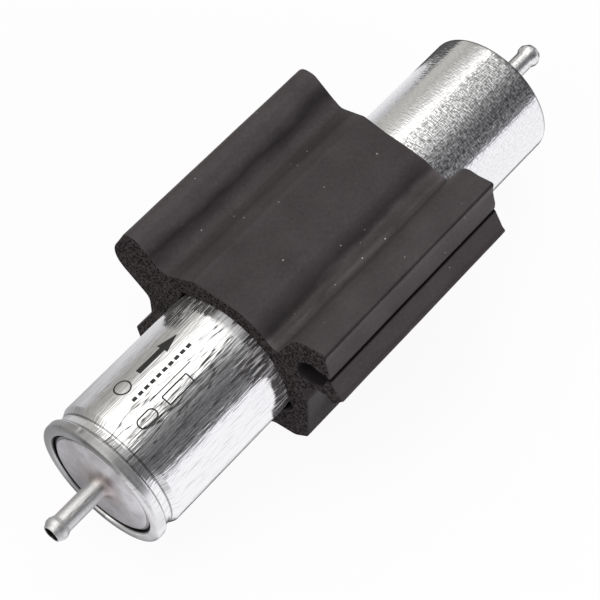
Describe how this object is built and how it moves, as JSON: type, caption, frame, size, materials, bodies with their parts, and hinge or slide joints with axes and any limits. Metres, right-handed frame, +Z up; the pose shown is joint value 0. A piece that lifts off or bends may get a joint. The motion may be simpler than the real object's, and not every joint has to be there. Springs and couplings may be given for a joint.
{
  "type": "in-line fuel filter",
  "caption": "Long aluminium in-line fuel filter with a hose spigot at each end, held in an extruded rubber mounting sleeve that slides off along the can.",
  "frame": {"origin": "on the surface it stands on, under the middle of the bounding box", "axes": "+X along the can from the inlet spigot and crimped cover to the outlet spigot, +Z up, with the sleeve's soles facing -Z and its slotted lips towards -Y"},
  "size_m": [0.2786, 0.1082, 0.0837],
  "materials": {
    "drawn_aluminium": "bright drawn aluminium with fine lines along the can",
    "cover_aluminium": "dull satin pressed aluminium",
    "seal_rubber": "black nitrile rubber",
    "spring_steel": "drawn spring wire",
    "zinc_plated_steel": "zinc-plated pressed sheet",
    "resin_paper": "resin-treated filter paper",
    "white_nylon": "fine woven nylon mesh",
    "sponge_rubber": "extruded closed-cell sponge rubber, smooth skin and cut ends"
  },
  "bodies": {
    "filter_body": {"canister": "drawn_aluminium", "inlet_cover": "cover_aluminium", "cover_seal": "seal_rubber", "preload_spring": "spring_steel", "spring_seat": "zinc_plated_steel", "inlet_end_disc": "zinc_plated_steel", "filter_pleats": "resin_paper", "centre_tube": "zinc_plated_steel", "outlet_end_disc": "zinc_plated_steel", "outlet_strainer": "white_nylon", "outlet_seal": "seal_rubber"},
    "sleeve_body": {"mounting_sleeve": "sponge_rubber"}
  },
  "joints": [
    {"name": "sleeve_slide", "type": "slide", "parent": "filter_body", "child": "sleeve_body", "axis": [1, 0, 0], "range_m": [-0.05, 0.19]}
  ]
}
